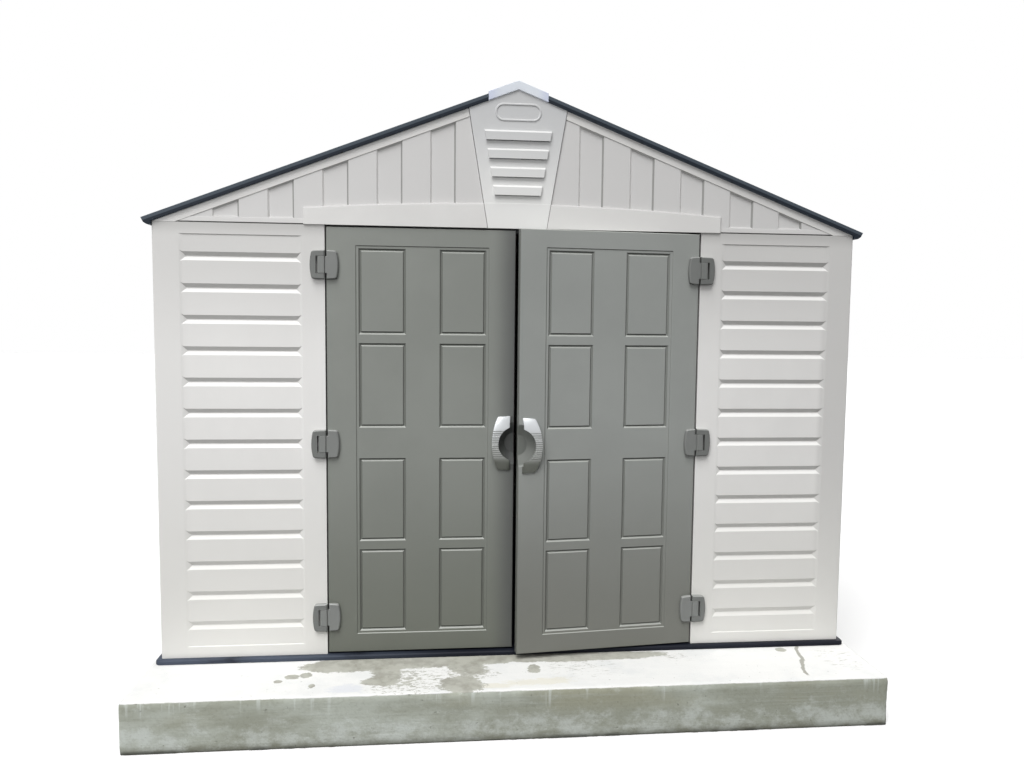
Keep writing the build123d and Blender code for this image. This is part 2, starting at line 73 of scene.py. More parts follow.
# Damp patches on the top: the middle of each, its half width and half depth, and how broken up it is
damp_patches = [
    ((-0.70, -1.12), (0.20, 0.065), 0.3),
    ((-0.42, -1.09), (0.30, 0.085), 0.3),
    ((-0.10, -1.08), (0.16, 0.075), 0.3),
    ((0.25, -1.10), (0.42, 0.050), 0.2),
    ((-0.54, -1.21), (0.065, 0.095), 0.5),
    ((-0.21, -1.16), (0.085, 0.095), 0.7),
    ((-0.235, -1.33), (0.095, 0.075), 0.6),
    ((-0.59, -1.275), (0.05, 0.04), 0.4),
    ((-0.975, -1.254), (0.017, 0.015), 0.5),
    ((-0.925, -1.216), (0.030, 0.020), 0.5),
    ((-0.869, -1.204), (0.026, 0.023), 0.5),
    ((-0.833, -1.302), (0.012, 0.018), 0.5),
    ((0.074, -1.209), (0.026, 0.040), 0.5),
    ((1.209, -1.097), (0.026, 0.024), 0.3),
]
speckled_patches = [
    ((-0.46, -1.29), (0.15, 0.12)),
    ((-0.20, -1.24), (0.12, 0.05)),
]
scratched_patches = [
    ((0.28, -1.21), (0.16, 0.10)),
    ((1.43, -1.19), (0.10, 0.13)),
    ((0.75, -1.14), (0.10, 0.04)),
]
faint_patches = [
    ((-0.69, -1.34), (0.07, 0.035)),
]
cream_patches = [
    ((0.01, -1.335), (0.07, 0.030)),
    ((0.14, -1.33), (0.10, 0.03)),
    ((-0.12, -1.35), (0.16, 0.02)),
]
wet_line_foot = (1.208, -1.36)
wet_line_head = (1.296, -1.065)
wet_line_half = 0.009
wet_line_fade = 0.02
wet_line_waver = 0.06


def seen(colour):
    """A colour as it is seen, from 0 to 255 a channel, in the form that a shader takes."""
    return tuple(((channel / 255 + 0.055) / 1.055) ** 2.4 for channel in colour) + (1,)


def new_material(name, roughness, specular=0.5):
    material = bpy.data.materials.new(name)
    material.use_nodes = True
    shader = material.node_tree.nodes["Principled BSDF"]
    shader.inputs["Roughness"].default_value = roughness
    shader.inputs["Specular IOR Level"].default_value = specular
    return material, material.node_tree, shader


def fill(tree, socket, value):
    """Joins a socket to another one, or gives it a plain value."""
    if isinstance(value, bpy.types.NodeSocket):
        tree.links.new(value, socket)
    else:
        socket.default_value = value


def wire(tree, kind, inputs, output=0, **settings):
    """Adds a shader node with its settings and inputs, and returns one of its outputs."""
    made = tree.nodes.new("ShaderNode" + kind)
    for name, value in settings.items():
        setattr(made, name, value)
    for name, value in inputs.items():
        fill(tree, made.inputs[name], value)
    return made.outputs[output]


def math(tree, operation, first, second=0.0):
    return wire(tree, "Math", {0: first, 1: second}, operation=operation)


def blend(tree, share, first, second):
    """A colour between two others."""
    mix = {0: share, 6: first, 7: second}
    return wire(tree, "Mix", mix, output=2, data_type="RGBA")


def ramp(tree, value, low, high):
    """A soft step from 0 at low to 1 at high."""
    steps = {"Value": value, "From Min": low, "From Max": high}
    return wire(tree, "MapRange", steps, interpolation_type="SMOOTHSTEP")


def cloud(tree, place, scale, detail=4.0, stretch=(1, 1, 1), roughness=0.5):
    """Noise that can be drawn out along an axis, as a value round 0.5."""
    spread = wire(tree, "Mapping", {"Vector": place, "Scale": stretch})
    return wire(tree, "TexNoise", {"Vector": spread, "Scale": scale, "Detail": detail, "Roughness": roughness})


def emboss(tree, shader, height, distance, strength=1.0):
    bump = {"Height": height, "Distance": distance, "Strength": strength}
    tree.links.new(wire(tree, "Bump", bump), shader.inputs["Normal"])


def oval(tree, place, middle, half):
    """How far a point is from the middle of an upright oval column, as a share of its half size."""
    shift = tuple(-m / h for m, h in zip(middle, half)) + (0,)
    scale = tuple(1 / h for h in half) + (0,)
    moved = wire(tree, "Mapping", {"Vector": place, "Location": shift, "Scale": scale})
    return wire(tree, "VectorMath", {0: moved}, output=1, operation="LENGTH")


def nearest_patch(tree, place, patches):
    nearest = oval(tree, place, *patches[0][:2])
    for patch in patches[1:]:
        nearest = math(tree, "MINIMUM", nearest, oval(tree, place, *patch[:2]))
    return nearest


def object_place(tree):
    """The Object coordinates of a point, which are metres in the frame of the shed."""
    return wire(tree, "TexCoord", {}, output=3)


def position(tree):
    """The separate coordinates of a point, as the outputs of one node."""
    axes = tree.nodes.new("ShaderNodeSeparateXYZ")
    tree.links.new(object_place(tree), axes.inputs[0])
    return axes.outputs


def concrete_top(tree, place, aside_x, aside_y):
    mottle = cloud(tree, place, 6, 6, roughness=0.6)
    colour = blend(tree, ramp(tree, mottle, 0.45, 0.70), seen(bleached_colour), seen(trowelled_colour))
    ragged = math(tree, "SUBTRACT", cloud(tree, place, 11, 12, stretch=(0.8, 1.3, 1), roughness=0.72), 0.5)
    islands = math(tree, "SUBTRACT", cloud(tree, place, 52, 8, stretch=(0.7, 1.5, 1), roughness=0.72), 0.5)
    tone = blend(tree, ramp(tree, cloud(tree, place, 15, 8, roughness=0.65), 0.36, 0.60), seen(damp_colour),
                 seen(drying_colour))

    for patches, tint in ((faint_patches, faint_colour), (cream_patches, cream_colour)):
        faint = math(tree, "ADD", nearest_patch(tree, place, patches), math(tree, "MULTIPLY", ragged, 3.0))
        faint = math(tree, "ADD", faint, math(tree, "MULTIPLY", islands, 2.0))
        colour = blend(tree, math(tree, "MULTIPLY", ramp(tree, faint, 1.3, 0.5), 0.5), colour, seen(tint))
    speckled = nearest_patch(tree, place, speckled_patches)
    scattered = ramp(tree, math(tree, "SUBTRACT", islands, math(tree, "MULTIPLY", speckled, 0.10)), -0.05, -0.01)
    scattered = math(tree, "MULTIPLY", scattered, ramp(tree, speckled, 1.35, 0.8))
    colour = blend(tree, math(tree, "MULTIPLY", scattered, 0.85), colour, tone)
    scratched = ramp(tree, cloud(tree, place, 60, 4, stretch=(0.35, 1.4, 1), roughness=0.8), 0.55, 0.64)
    scratched = math(tree, "MULTIPLY", scratched, ramp(tree, nearest_patch(tree, place, scratched_patches), 1.2, 0.6))
    colour = blend(tree, math(tree, "MULTIPLY", scratched, 0.75), colour, seen(damp_colour))
    for middle, half, broken in damp_patches:
        edge = math(tree, "ADD", oval(tree, place, middle, half), math(tree, "MULTIPLY", ragged, 2.2 * broken + 0.7))
        edge = math(tree, "ADD", edge, math(tree, "MULTIPLY", islands, 2.4 * broken))
        damp = ramp(tree, edge, 1.06, 0.94)
        colour = blend(tree, math(tree, "MULTIPLY", damp, 0.94), colour, tone)

    lean = (wet_line_head[0] - wet_line_foot[0]) / (wet_line_head[1] - wet_line_foot[1])
    along = math(tree, "MULTIPLY_ADD", aside_y, lean)
    along.node.inputs[2].default_value = wet_line_foot[0] - lean * wet_line_foot[1]
    waver = math(tree, "MULTIPLY", math(tree, "SUBTRACT", cloud(tree, place, 11, 4), 0.5), wet_line_waver)
    aside = math(tree, "SUBTRACT", math(tree, "ADD", along, waver), aside_x)
    line = ramp(tree, math(tree, "ABSOLUTE", aside), wet_line_half, wet_line_half * 0.6)
    line = math(tree, "MULTIPLY", line, ramp(tree, aside_y, wet_line_foot[1], wet_line_foot[1] + wet_line_fade))
    colour = blend(tree, math(tree, "MULTIPLY", line, 0.85), colour, seen(damp_colour))
    specks = ramp(tree, cloud(tree, place, 70, 3), 0.70, 0.76)
    colour = blend(tree, math(tree, "MULTIPLY", specks, 0.4), colour, seen(soil_colour))
    trowel = cloud(tree, place, 5, 5, stretch=(1, 4, 1))
    grit = cloud(tree, place, 160, 3)
    return colour, math(tree, "ADD", trowel, math(tree, "MULTIPLY", grit, 0.3))


def concrete_side(tree, place, aside_x, height):
    drawn = cloud(tree, place, 2.2, 10, stretch=(1, 1, 3), roughness=0.62)
    shaded_end = math(tree, "MULTIPLY", ramp(tree, aside_x, shaded_from_x, shaded_to_x), 0.10)
    mossy = ramp(tree, math(tree, "ADD", drawn, shaded_end), 0.42, 0.62)
    colour = blend(tree, mossy, seen(cast_colour), seen(moss_colour))
    olive = math(tree, "MULTIPLY", ramp(tree, cloud(tree, place, 1.9, 8, stretch=(1, 1, 2)), 0.50, 0.64),
                 ramp(tree, height, olive_from_z, olive_to_z))
    colour = blend(tree, math(tree, "MULTIPLY", olive, 0.6), colour, seen(olive_colour))
    blotch = cloud(tree, place, 6.5, 14, stretch=(1, 1, 1.4), roughness=0.76)
    low_down = math(tree, "MULTIPLY", ramp(tree, height, limed_from_z, limed_to_z), 0.14)
    pale = ramp(tree, math(tree, "ADD", blotch, low_down), 0.54, 0.72)
    colour = blend(tree, math(tree, "MULTIPLY", pale, 0.55), colour, seen(limescale_colour))
    boards = cloud(tree, place, 5, 8, stretch=(0.5, 0.5, 16), roughness=0.68)
    colour = blend(tree, math(tree, "MULTIPLY", ramp(tree, boards, 0.52, 0.72), 0.16), colour, seen(limescale_colour))
    colour = blend(tree, math(tree, "MULTIPLY", ramp(tree, boards, 0.48, 0.30), 0.22), colour, seen(moss_colour))
    sand = cloud(tree, place, 75, 4, roughness=0.7)
    colour = blend(tree, math(tree, "MULTIPLY", ramp(tree, sand, 0.50, 0.66), 0.15), colour, seen(soil_colour))
    runs = cloud(tree, place, 30, 4, stretch=(1, 1, 0.04), roughness=0.5)
    run_length = math(tree, "ADD", height, math(tree, "MULTIPLY", cloud(tree, place, 8, 3, stretch=(1, 1, 0)), 0.16))
    dripped = math(tree, "MULTIPLY", ramp(tree, runs, 0.58, 0.66), ramp(tree, run_length, drips_from_z, drips_to_z))
    colour = blend(tree, math(tree, "MULTIPLY", dripped, 0.45), colour, seen(limescale_colour))
    # Soil stain and a painted shadow of grass darken the foot of the sides.
    foot = math(tree, "ADD", height, math(tree, "MULTIPLY", blotch, 0.06))
    soiled = ramp(tree, foot, soil_and_shadow_from_z, soil_and_shadow_to_z)
    colour = blend(tree, math(tree, "MULTIPLY", soiled, 0.6), colour, seen(soil_colour))
    pits = ramp(tree, cloud(tree, place, 60, 3), 0.70, 0.75)
    colour = blend(tree, math(tree, "MULTIPLY", pits, 0.35), colour, seen(soil_colour))
    grit = math(tree, "MULTIPLY", cloud(tree, place, 130, 3), 0.3)
    relief = math(tree, "ADD", math(tree, "MULTIPLY", boards, 0.4), grit)
    return colour, math(tree, "SUBTRACT", relief, math(tree, "MULTIPLY", pits, 0.8))


def weathered_concrete():
    """Bleached on top and mossy down the sides, which meet in the worn edge."""
    material, tree, shader = new_material("weathered_concrete", 0.88, 0.25)
    place = object_place(tree)
    aside_x, aside_y, height = position(tree)
    top_colour, top_relief = concrete_top(tree, place, aside_x, aside_y)
    side_colour, side_relief = concrete_side(tree, place, aside_x, height)
    waver = math(tree, "MULTIPLY", math(tree, "SUBTRACT", cloud(tree, place, 26, 5, roughness=0.65), 0.5),
                 worn_edge_waver)
    over_edge = ramp(tree, math(tree, "ADD", height, waver),
                     slab_high.z - worn_edge_low, slab_high.z - worn_edge_high)
    fill(tree, shader.inputs["Base Color"], blend(tree, over_edge, side_colour, top_colour))
    relief = {0: over_edge, 2: side_relief, 3: top_relief}
    emboss(tree, shader, wire(tree, "Mix", relief, data_type="FLOAT"), concrete_bump)
    return material


def deselect_all():
    bpy.ops.object.select_all(action="DESELECT")


def apply_modifiers(piece):
    """Bakes a piece's modifiers into its mesh, in their order."""
    deselect_all()
    piece.select_set(True)
    bpy.context.view_layer.objects.active = piece
    for modifier in list(piece.modifiers):
        bpy.ops.object.modifier_apply(modifier=modifier.name)


def roughen(piece, name, size, strength):
    """Adds shallow procedural relief along the surface's own direction."""
    relief = bpy.data.textures.new(name, "CLOUDS")
    relief.noise_scale = size
    relief.noise_depth = 3
    modifier = piece.modifiers.new(name, "DISPLACE")
    modifier.texture = relief
    modifier.texture_coords = "LOCAL"
    modifier.strength = strength


deselect_all()
bpy.ops.mesh.primitive_cube_add(size=1, location=(slab_low + slab_high) / 2)
plinth = bpy.context.object
plinth.name = "weathered_plinth"
plinth.scale = slab_high - slab_low - Vector((slab_relief, slab_relief, 0))
bpy.ops.object.transform_apply(location=True, rotation=True, scale=True)
slab_voxels = plinth.modifiers.new("grid", "REMESH")
slab_voxels.mode = "VOXEL"
slab_voxels.voxel_size = slab_grid
roughen(plinth, "trowel_waves", 0.25, slab_relief)
roughen(plinth, "cast_grain", 0.03, slab_relief / 2)
apply_modifiers(plinth)
for vertex in plinth.data.vertices:
    spot = vertex.co
    beside = (slab_high.x - abs(spot.x), slab_high.y - abs(spot.y))
    from_top = slab_high.z - spot.z
    to_edge = sorted((*beside, from_top))[1]
    if to_edge < chip_band:
        broken = max(least_chip, noise.fractal(spot * 11, 0.8, 2.2, 5) * 1.5)
        broken = broken if from_top < chip_band else min(broken, upright_chips)
        bite = chip_depth * broken * (1 - to_edge / chip_band)
        if beside[0] < chip_band:
            vertex.co.x -= bite * (1 if spot.x > 0 else -1)
        if beside[1] < chip_band:
            vertex.co.y -= bite * (1 if spot.y > 0 else -1)
        if from_top < chip_band:
            vertex.co.z -= bite
    for axis in range(3):
        vertex.co[axis] = min(max(vertex.co[axis], slab_low[axis]), slab_high[axis])
    if vertex.co.z < slab_grid / 2:
        vertex.co.z = 0
for face in plinth.data.polygons:
    face.use_smooth = True
    face.select = face.center.z < slab_grid / 4 and face.normal.z < -0.9
bpy.ops.object.mode_set(mode="EDIT")
bpy.ops.mesh.dissolve_faces()
bpy.ops.object.mode_set(mode="OBJECT")
plinth.data.materials.append(weathered_concrete())
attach(plinth, "shed")
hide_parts("concrete_plinth")

# Floor pan: two blow-moulded halves of dark blue resin that lie on the plinth and show as a rim round the walls.
# A painted sky reflection makes the rim paler and bluer, in drifts, towards the left.
rim_colour = (22, 24, 32)
rim_mottle = (29, 32, 41)
rim_reflection_colour = (78, 86, 100)
rim_edge = 0.0025
rim_reflection_from_x, rim_reflection_to_x = -0.1, -1.1
resin_bump = 0.0022
splash_reach = 0.16
dirt_fade = 0.14
merge_within = 0.00002
flat_within = 0.5


def softened(node, edge, body, material, kept_angle=20, reshape=None):
    """A moulded piece made from a CAD node: its facets are joined and its sharp edges rounded."""
    piece = bpy.data.objects.new(node + "_moulding", nodes[node].data.copy())
    bpy.context.scene.collection.objects.link(piece)
    deselect_all()
    piece.select_set(True)
    bpy.context.view_layer.objects.active = piece
    bpy.ops.object.mode_set(mode="EDIT")
    bpy.ops.mesh.select_all(action="SELECT")
    bpy.ops.mesh.remove_doubles(threshold=merge_within)
    bpy.ops.mesh.dissolve_limited(angle_limit=radians(flat_within))
    bpy.ops.object.mode_set(mode="OBJECT")
    if reshape:
        reshape(piece)
    for face in piece.data.polygons:
        face.use_smooth = True
    bevel = piece.modifiers.new("soft_edge", "BEVEL")
    bevel.width = edge
    bevel.segments = 2
    bevel.limit_method = "ANGLE"
    bevel.angle_limit = radians(kept_angle)
    flats = piece.modifiers.new("flat_faces", "WEIGHTED_NORMAL")
    flats.weight = 100
    flats.keep_sharp = True
    apply_modifiers(piece)
    piece.data.materials.clear()
    piece.data.materials.append(material)
    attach(piece, body)
    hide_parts(node)
    return piece


def resin(name, colour, mottle, roughness, grain=0.25, dirt=None, dirt_top=0.0, stretch=(1, 1, 1), specular=0.4):
    """Moulded resin: a faint mottle, a fine moulded grain, and dirt that gathers towards the ground."""
    material, tree, shader = new_material(name, roughness, specular)
    place = object_place(tree)
    patches = cloud(tree, place, 2.3, 5, stretch=stretch, roughness=0.55)
    finish = blend(tree, ramp(tree, patches, 0.35, 0.68), seen(colour), seen(mottle))
    if dirt:
        splash = cloud(tree, place, 21, 6, stretch=(1, 1, 0.5), roughness=0.65)
        level = math(tree, "SUBTRACT", position(tree)[2], math(tree, "MULTIPLY", splash, splash_reach))
        soiled = ramp(tree, level, dirt_top, dirt_top - dirt_fade)
        finish = blend(tree, math(tree, "MULTIPLY", soiled, 0.75), finish, seen(dirt))
    scuffs = ramp(tree, cloud(tree, place, 38, 7, stretch=(1, 1, 0.35), roughness=0.7), 0.63, 0.76)
    finish = blend(tree, math(tree, "MULTIPLY", scuffs, 0.18), finish, seen(mottle))
    fill(tree, shader.inputs["Base Color"], finish)
    sheen = cloud(tree, place, 5, 4)
    gloss = {"Value": sheen, "To Min": roughness - 0.06, "To Max": roughness + 0.08}
    fill(tree, shader.inputs["Roughness"], wire(tree, "MapRange", gloss))
    pebble = cloud(tree, place, 420, 2)
    waves = cloud(tree, place, 3.5, 2)
    relief = math(tree, "ADD", math(tree, "MULTIPLY", pebble, 0.10), math(tree, "MULTIPLY", waves, 1.6))
    emboss(tree, shader, relief, resin_bump, grain)
    return material, tree, shader


floor_resin, floor_tree, floor_shader = resin("floor_resin", rim_colour, rim_mottle, 0.5, specular=0.12)
floor_place = object_place(floor_tree)
# Painted sky reflection on the rim, strongest towards the left.
leftwards = ramp(floor_tree, position(floor_tree)[0], rim_reflection_from_x, rim_reflection_to_x)
reflection_patches = ramp(floor_tree, cloud(floor_tree, floor_place, 24, 6, stretch=(0.3, 1, 1)), 0.15, 0.60)
painted_reflection = math(floor_tree, "MULTIPLY", leftwards, reflection_patches)
bare = floor_shader.inputs["Base Color"].links[0].from_socket
fill(floor_tree, floor_shader.inputs["Base Color"],
     blend(floor_tree, math(floor_tree, "MULTIPLY", painted_reflection, 0.8), bare, seen(rim_reflection_colour)))
for side in ("left", "right"):
    softened(f"floor_{side}", rim_edge, "shed", floor_resin)

# Walls: double-skinned resin panels with the lap siding moulded in, clipped together at the corners and seams.
# Pale warm grey with a slight sheen, and painted shade on the corner posts, the right one most, and under the eaves.
wall_colour = (238, 237, 235)
wall_mottle = (232, 231, 229)
wall_painted_shade_colour = (212, 211, 209)
wall_shaded_colour = (195, 194, 192)
wall_seam_shadow_colour = (110, 110, 107)
wall_dirt = (218, 216, 209)
wall_dirt_top = 0.36
left_post_shade_colour = (230, 229, 227)
corner_post_from_x, corner_post_to_x = 1.355, 1.395
right_side_from_y, right_side_to_y = 0.0, -0.9
eaves_shade_from_z, eaves_shade_to_z = 1.45, 2.0
wall_seam = 0.0015
low_wall_shade_colour = (222, 221, 217)
low_wall_from_z, low_wall_to_z = 1.25, 0.35
groove_floor = 0.012
field_floor = 0.003
field_border = 0.014
groove_slant = 0.020
mitre_inset = 0.0025
mitre_slope = 1.75
groove_top_slope = 1.85
groove_foot_slope = 1.64
floor_pull_in = 0.006
mouth_pull_in = 0.004
mouth_from_floor = 0.010
cut_margin = 0.0003
cut_rise = 0.001
wall_edge = 0.0015
ledge_highlight = (240, 240, 238)
groove_down_face_shade = (150, 150, 147)
wall_nodes = ["front_wall_left", "front_wall_right"]
wall_nodes += [f"{side}_wall_{place}" for side in ("left", "right") for place in ("front", "middle", "back")]
wall_nodes += ["back_wall_left", "back_wall_middle_left", "back_wall_middle_right", "back_wall_right"]


def laid_over(tree, shader, share, colour):
    """Lays another colour over what a shader shows, where its share is more than 0."""
    under = shader.inputs["Base Color"].links[0].from_socket
    fill(tree, shader.inputs["Base Color"], blend(tree, share, under, seen(colour)))


def facing(tree):
    """The separate parts of the direction that a face looks in, as the outputs of one node."""
    parts = tree.nodes.new("ShaderNodeSeparateXYZ")
    tree.links.new(wire(tree, "TexCoord", {}, output=1), parts.inputs[0])
    return parts.outputs


def painted_light_by_facing(tree, shader, up_face_colour, down_face_colour, dust_and_up_light=0.5, down_face_share=0.5):
    """Paints what faces up with a colour that stands in for the light it catches, and what faces down with painted
    shade.
    """
    upwards = facing(tree)[2]
    laid_over(tree, shader, math(tree, "MULTIPLY", ramp(tree, upwards, 0.25, 0.6), dust_and_up_light), up_face_colour)
    laid_over(tree, shader, math(tree, "MULTIPLY", ramp(tree, upwards, -0.25, -0.6), down_face_share), down_face_colour)


wall_faces = {"front": (1, -1), "back": (1, 1), "left": (0, -1), "right": (0, 1)}


def mitre_grooves(piece):
    """Cuts the grooves anew, a little taller and with mitred ends, so that they reach the border of the field."""
    out, outward = wall_faces[piece.name.split("_")[0]]
    along = 1 - out
    spots = [vertex.co for vertex in piece.data.vertices]
    face = max(spot[out] * outward for spot in spots)
    floors = [spot for spot in spots if abs(face - spot[out] * outward - groove_floor) < cut_margin]
    ends = min(spot[along] for spot in floors), max(spot[along] for spot in floors)
    centre, floor_half = sum(ends) / 2, (ends[1] - ends[0]) / 2
    rows = sorted({round(spot.z, 5) for spot in floors})
    for spot in spots:
        depth = face - spot[out] * outward
        inwards = -1 if spot[along] > centre else 1
        if abs(depth - groove_floor) < cut_margin:
            spot[along] += inwards * floor_pull_in
        elif abs(depth - field_floor) < cut_margin and abs(spot[along] - centre) > floor_half + mouth_from_floor:
            spot[along] += inwards * mouth_pull_in
    deselect_all()
    bpy.ops.mesh.primitive_cube_add(size=2)
    cutter = bpy.context.object
    for vertex in cutter.data.vertices:
        side, inner, up = vertex.co
        depth = groove_floor + cut_margin if inner > 0 else -cut_rise
        rise = groove_floor + cut_margin - depth
        sloped_in = (depth - field_floor * mitre_inset / field_border) * mitre_slope
        half = floor_half + groove_slant - mitre_inset - sloped_in
        vertex.co[along] = centre + side * half
        vertex.co[out] = (face - depth) * outward
        vertex.co.z = (rows[1] + cut_margin + rise * groove_top_slope if up > 0
                       else rows[0] - cut_margin - rise * groove_foot_slope)
    bpy.ops.object.mode_set(mode="EDIT")
    bpy.ops.mesh.select_all(action="SELECT")
    bpy.ops.mesh.normals_make_consistent(inside=False)
    bpy.ops.object.mode_set(mode="OBJECT")
    repeat = cutter.modifiers.new("rows", "ARRAY")
    repeat.use_relative_offset = False
    repeat.use_constant_offset = True
    repeat.constant_offset_displace = (0, 0, rows[2] - rows[0])
    repeat.count = len(rows) // 2
    apply_modifiers(cutter)
    cut = piece.modifiers.new("grooves", "BOOLEAN")
    cut.object = cutter
    cut.operation = "DIFFERENCE"
    apply_modifiers(piece)
    bpy.data.objects.remove(cutter)


wall_resin, wall_tree, wall_shader = resin("wall_resin", wall_colour, wall_mottle, 0.48, dirt=wall_dirt,
                                           dirt_top=wall_dirt_top, stretch=(1, 1, 0.6))
wall_place = position(wall_tree)
# Painted shade on the corner posts, the right one and its front most, and on the walls under the eaves.
left_post_shade_share = ramp(wall_tree, wall_place[0], -corner_post_from_x, -corner_post_to_x)
laid_over(wall_tree, wall_shader, left_post_shade_share, left_post_shade_colour)
right_post_shade_share = math(wall_tree, "MULTIPLY", ramp(wall_tree, wall_place[0], corner_post_from_x, corner_post_to_x),
                     ramp(wall_tree, wall_place[1], right_side_from_y, right_side_to_y))
laid_over(wall_tree, wall_shader, right_post_shade_share, wall_painted_shade_colour)
eaves_shade_share = ramp(wall_tree, wall_place[2], eaves_shade_from_z, eaves_shade_to_z)
laid_over(wall_tree, wall_shader, math(wall_tree, "MULTIPLY", eaves_shade_share, 0.9), wall_painted_shade_colour)
wall_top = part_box("front_wall_left")[1].z
laid_over(wall_tree, wall_shader, ramp(wall_tree, wall_place[2], eaves_shade_to_z, wall_top), wall_shaded_colour)
# Painted shadow in the seam where the gables sit on the walls.
off_seam = math(wall_tree, "ABSOLUTE", math(wall_tree, "SUBTRACT", wall_place[2], wall_top))
laid_over(wall_tree, wall_shader, ramp(wall_tree, off_seam, wall_seam, wall_seam / 2), wall_seam_shadow_colour)
# Painted highlight on the faces that look up and painted shade on those that look down.
painted_light_by_facing(wall_tree, wall_shader, ledge_highlight, groove_down_face_shade, down_face_share=0.6)
# Painted shade darkens the walls towards the ground.
low_wall = ramp(wall_tree, wall_place[2], low_wall_from_z, low_wall_to_z)
laid_over(wall_tree, wall_shader, low_wall, low_wall_shade_colour)
for node in wall_nodes:
    softened(node, wall_edge, "shed", wall_resin, reshape=mitre_grooves)

# Gables and keystones: the same resin, with board and batten relief, a header band and a louvred vent.
# Painted shade makes the gables darker than the walls, the sunk boards darker still, and the keystone darker towards
# the ridge.
gable_shaded_colour = (229, 228, 226)
gable_shaded_mottle = (223, 222, 220)
sunk_board_shade_colour = (214, 213, 212)
gable_seam_shadow_colour = (90, 90, 88)
gable_seam = 0.003
sunk_from, sunk_to = -0.0005, -0.0025
behind_from, behind_to = 0.0004, -0.0002
keystone_head_above = 0.05
gable_up_face_shade = (188, 187, 186)
gable_edge = 0.0012
left_side_shade_colour = (152, 152, 150)
right_side_highlight_colour = (234, 233, 231)
keystone_up_face_shade = (236, 236, 234)
keystone_colour = (240, 240, 238)
keystone_mottle = (234, 234, 232)
keystone_head_shade_colour = (204, 205, 206)
gable_low, gable_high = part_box("front_gable_left")
# The gables' resin is given a darker colour than the walls' as painted shade.
gable_resin, gable_tree, gable_shader = resin("gable_resin", gable_shaded_colour, gable_shaded_mottle, 0.5)
gable_place = position(gable_tree)
wall_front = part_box("front_wall_left")[0].y
half_deep = (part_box("back_wall_left")[1].y - wall_front) / 2
outward = math(gable_tree, "ABSOLUTE", math(gable_tree, "SUBTRACT", gable_place[1], wall_front + half_deep))
# Painted shade on the sunk boards.
sunk = ramp(gable_tree, outward, half_deep + sunk_from, half_deep + sunk_to)
laid_over(gable_tree, gable_shader, sunk, sunk_board_shade_colour)
# Painted shadow in the seam at the foot of the sunk boards.
in_seam = ramp(gable_tree, gable_place[2], gable_low.z + 2 * gable_seam, gable_low.z + gable_seam)
laid_over(gable_tree, gable_shader, math(gable_tree, "MULTIPLY", in_seam, sunk), gable_seam_shadow_colour)
gable_facing = facing(gable_tree)
behind = ramp(gable_tree, outward, half_deep + behind_from, half_deep + behind_to)
# Painted shade on the sides of the sunk boards that look left, and a painted highlight on those that look right.
for turned, side_light_colour in ((-1, left_side_shade_colour), (1, right_side_highlight_colour)):
    step = ramp(gable_tree, math(gable_tree, "MULTIPLY", gable_facing[0], turned), 0.25, 0.5)
    laid_over(gable_tree, gable_shader, math(gable_tree, "MULTIPLY", step, behind), side_light_colour)
# Painted shade on the faces that look up or down, to tone down their lit tops and deepen their undersides.
painted_light_by_facing(gable_tree, gable_shader, gable_up_face_shade, groove_down_face_shade, dust_and_up_light=0.8)
keystone_resin, key_tree, key_shader = resin("keystone_resin", keystone_colour, keystone_mottle, 0.5)
# Painted shade on the keystone towards the ridge.
towards_ridge = ramp(key_tree, position(key_tree)[2], gable_low.z, gable_high.z + keystone_head_above)
laid_over(key_tree, key_shader, towards_ridge, keystone_head_shade_colour)
# Painted shade on the keystone's faces that look up or down.
painted_light_by_facing(key_tree, key_shader, keystone_up_face_shade, groove_down_face_shade)
for face in ("front", "back"):
    softened(f"{face}_gable_left", gable_edge, "shed", gable_resin)
    softened(f"{face}_gable_right", gable_edge, "shed", gable_resin)
    softened(f"{face}_keystone", gable_edge, "shed", keystone_resin)

# Roof panels: dark slate resin with lapped courses between raised joint ribs.
# Short upright joints in each course are moulded to look like tabs, and dust lies on the flats.
roof_colour = (56, 64, 75)
roof_mottle = (68, 76, 87)
roof_dust = (98, 102, 106)
roof_edge_shade_colour = (30, 36, 44)
roof_lip_highlight_colour = (84, 93, 102)
roof_joint_colour = (28, 32, 40)
roof_lip = 0.015
lip_blur = 0.002
tab_joint = 0.005
roof_edge = 0.002
course_count = 7
ridge_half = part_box("ridge_skylight_front")[1].x
eave_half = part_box("roof_right_front")[1].x
roof_slope = (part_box("front_keystone")[1].z - gable_low.z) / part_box("front_wall_right")[1].x
tab_width = 0.17
roof_resin, roof_tree, roof_shader = resin("roof_resin", roof_colour, roof_mottle, 0.5, specular=0.12)
roof_place = object_place(roof_tree)
roof_x, roof_y, roof_z = position(roof_tree)
from_ridge = math(roof_tree, "ABSOLUTE", roof_x)
down_roof = math(roof_tree, "SUBTRACT", from_ridge, ridge_half)
tab_place = wire(roof_tree, "CombineXYZ", {"X": roof_y, "Y": down_roof})
tab_row = (eave_half - ridge_half) / course_count
tab_sizes = {"Vector": tab_place, "Scale": 1.0, "Mortar Size": tab_joint, "Mortar Smooth": 0.2,
             "Brick Width": tab_width, "Row Height": tab_row}
tabs = wire(roof_tree, "TexBrick", tab_sizes, output=1)
roof_bare = roof_shader.inputs["Base Color"].links[0].from_socket
drifts = ramp(roof_tree, cloud(roof_tree, roof_place, 4, 7, roughness=0.65), 0.48, 0.72)
dust_and_up_light = blend(roof_tree, math(roof_tree, "MULTIPLY", drifts, 0.3), roof_bare, seen(roof_dust))
fill(roof_tree, roof_shader.inputs["Base Color"],
     blend(roof_tree, math(roof_tree, "MULTIPLY", tabs, 0.75), dust_and_up_light, seen(roof_joint_colour)))
_, roof_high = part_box("roof_left_front")
